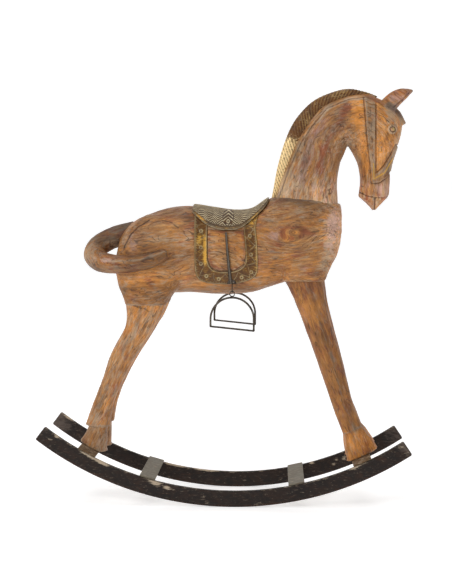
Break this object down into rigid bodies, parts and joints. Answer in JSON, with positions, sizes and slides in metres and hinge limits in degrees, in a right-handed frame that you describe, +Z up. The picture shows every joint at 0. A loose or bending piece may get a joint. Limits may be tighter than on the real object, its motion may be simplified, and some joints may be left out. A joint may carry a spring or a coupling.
{
  "type": "rocking horse",
  "caption": "Carved wooden rocking horse with a sheet-metal saddle, embossed trim and swinging wire stirrups, on curved iron rockers.",
  "frame": {"origin": "on the floor, below the middle of the part's bounding box", "axes": "+X towards the horse's nose, +Y towards the horse's left, +Z up"},
  "size_m": [0.8572, 0.21, 0.9495],
  "materials": {
    "carved_wood": "weathered warm brown wood, old wax and traces of grey-blue and red-brown paint",
    "brass_clad_crest": "wooden crest clad in thin dark brass sheet, embossed with slanting strands",
    "embossed_brass": "embossed, dark patina with gilt high spots",
    "saddle_metal": "embossed white-metal plated sheet, grey-olive patina",
    "brass_tack": "round tack head, dull",
    "dark_wire": "dark brown iron rod and strip",
    "blackened_iron": "black paint over iron, rust-brown edges and pale chips",
    "bare_steel": "dull grey with brown stains",
    "hoof_plate": "brown iron with cream paint remains"
  },
  "bodies": {
    "horse": {"body": "carved_wood", "neck_and_head": "carved_wood", "eye_right": "brass_tack", "eye_left": "brass_tack", "mane": "brass_clad_crest", "front_leg_right": "carved_wood", "front_leg_left": "carved_wood", "hind_leg_right": "carved_wood", "hind_leg_left": "carved_wood", "tail": "carved_wood", "saddle": "saddle_metal", "saddle_border_right": "embossed_brass", "saddle_border_left": "embossed_brass", "stirrup_strap_right": "dark_wire", "stirrup_strap_left": "dark_wire", "stirrup_hanger_right": "dark_wire", "stirrup_hanger_left": "dark_wire", "rocker_right": "blackened_iron", "rocker_left": "blackened_iron", "rear_hoof_plate": "hoof_plate", "front_hoof_plate": "hoof_plate", "rear_cross_strap": "bare_steel", "front_cross_strap": "bare_steel"},
    "right_stirrup": {"stirrup_right": "dark_wire"},
    "left_stirrup": {"stirrup_left": "dark_wire"}
  },
  "joints": [
    {"name": "right_stirrup_swing", "type": "hinge", "parent": "horse", "child": "right_stirrup", "pos_m": [0.0195, -0.083, 0.483], "axis": [0, 1, 0], "range_deg": [-60, 60]},
    {"name": "left_stirrup_swing", "type": "hinge", "parent": "horse", "child": "left_stirrup", "pos_m": [0.0195, 0.083, 0.483], "axis": [0, 1, 0], "range_deg": [-60, 60]}
  ]
}
